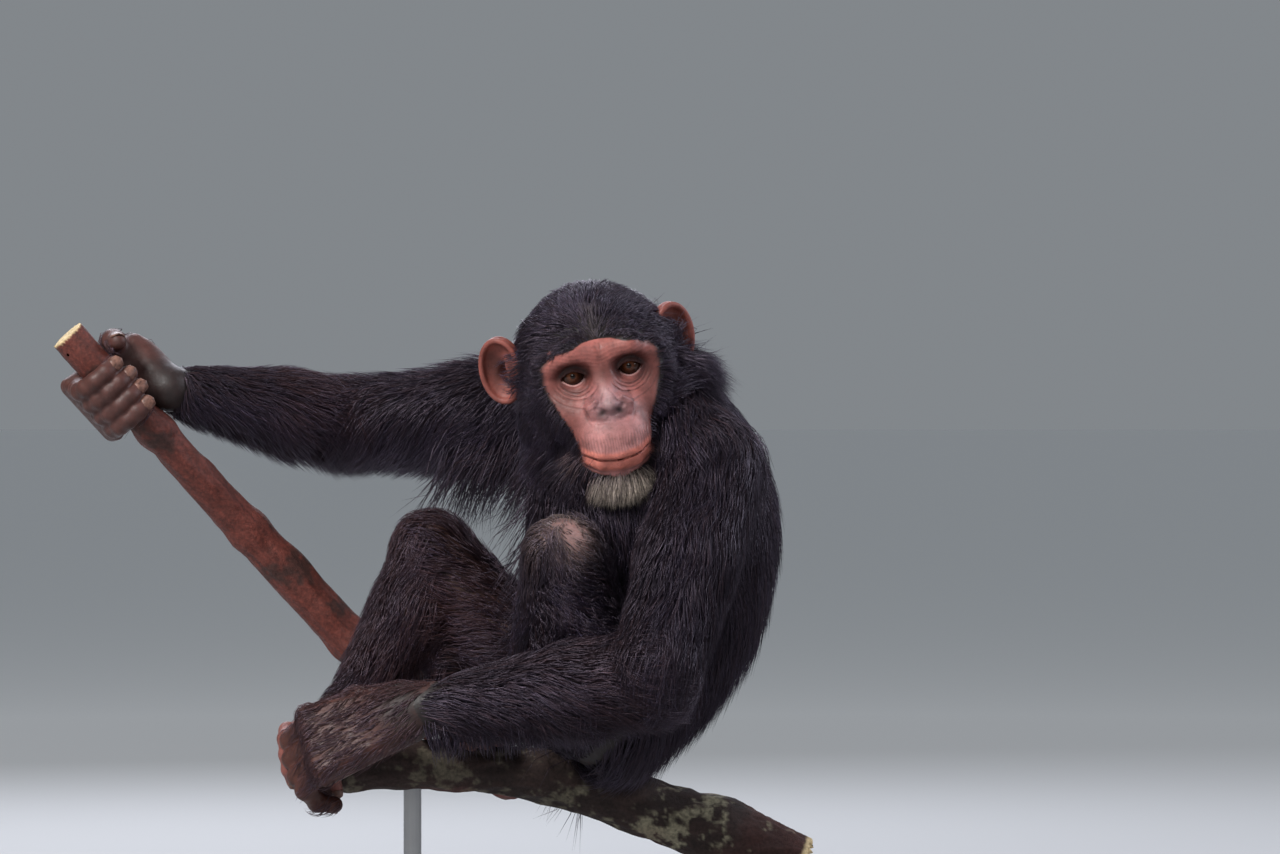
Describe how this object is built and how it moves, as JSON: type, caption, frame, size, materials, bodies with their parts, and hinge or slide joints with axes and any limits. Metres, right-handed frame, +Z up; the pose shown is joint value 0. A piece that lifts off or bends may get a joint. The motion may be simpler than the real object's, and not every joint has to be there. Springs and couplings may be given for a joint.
{
  "type": "life-size young chimpanzee figure on a perch",
  "caption": "Seated young chimpanzee, one arm round its knees and one gripping a rising limb, on a cut branch held by a plain display stand.",
  "frame": {"origin": "on the underside of the stand's base, below the animal's seat", "axes": "+Z up, the animal's body faces -X, its head looks to -Y, +X is towards its back"},
  "size_m": [0.6932, 0.4082, 0.6517],
  "materials": {
    "coat": "long black hair with a faint bluish sheen",
    "face_skin": "matt brown skin, wrinkled round the eyes",
    "ear_skin": "matt pinkish brown skin",
    "hand_skin": "creased brown skin",
    "eye": "polished, dark brown",
    "bark": "rough bark with pale lichen",
    "bare_wood": "weathered reddish wood",
    "stand": "satin grey paint"
  },
  "bodies": {
    "root": {"head": "face_skin", "ear_left": "ear_skin", "ear_right": "ear_skin", "eye_left": "eye", "eye_right": "eye", "neck": "coat", "torso": "coat", "upper_arm_left": "coat", "upper_arm_right": "coat", "forearm_left": "coat", "forearm_right": "coat", "hand_left": "hand_skin", "hand_right": "hand_skin", "thigh_left": "coat", "thigh_right": "coat", "shin_left": "coat", "shin_right": "coat", "foot_left": "hand_skin", "foot_right": "hand_skin", "perch_branch": "bark", "perch_limb": "bare_wood", "stand_base": "stand", "stand_rod_1": "stand", "stand_rod_2": "stand"}
  },
  "joints": []
}
